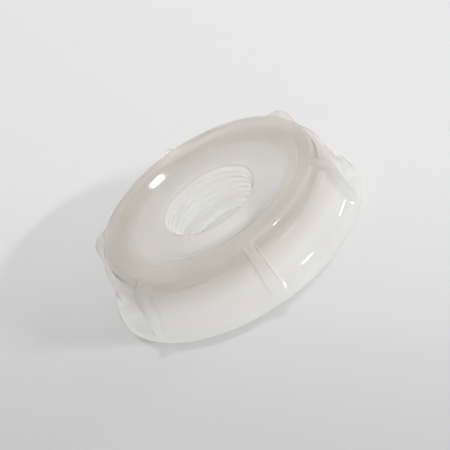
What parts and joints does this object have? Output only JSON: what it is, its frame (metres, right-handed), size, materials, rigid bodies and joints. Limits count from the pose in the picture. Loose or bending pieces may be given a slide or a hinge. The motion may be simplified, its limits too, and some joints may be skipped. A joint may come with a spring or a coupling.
{
  "type": "screw cap",
  "caption": "Round screw cap with a central tap hole in a shallow recess, a raised ring, rounded grip lugs and a flared base lip.",
  "frame": {"origin": "middle of the base, on the plane that the base lip stands on", "axes": "+Z along the cap's axis towards its top; the first grip lug points along +X"},
  "size_m": [0.073, 0.073, 0.0176],
  "materials": {
    "polyethylene": "undyed milky polyethylene, translucent where it is thin, with a soft moulded gloss"
  },
  "bodies": {
    "root": {"screw_cap": "polyethylene"}
  },
  "joints": []
}
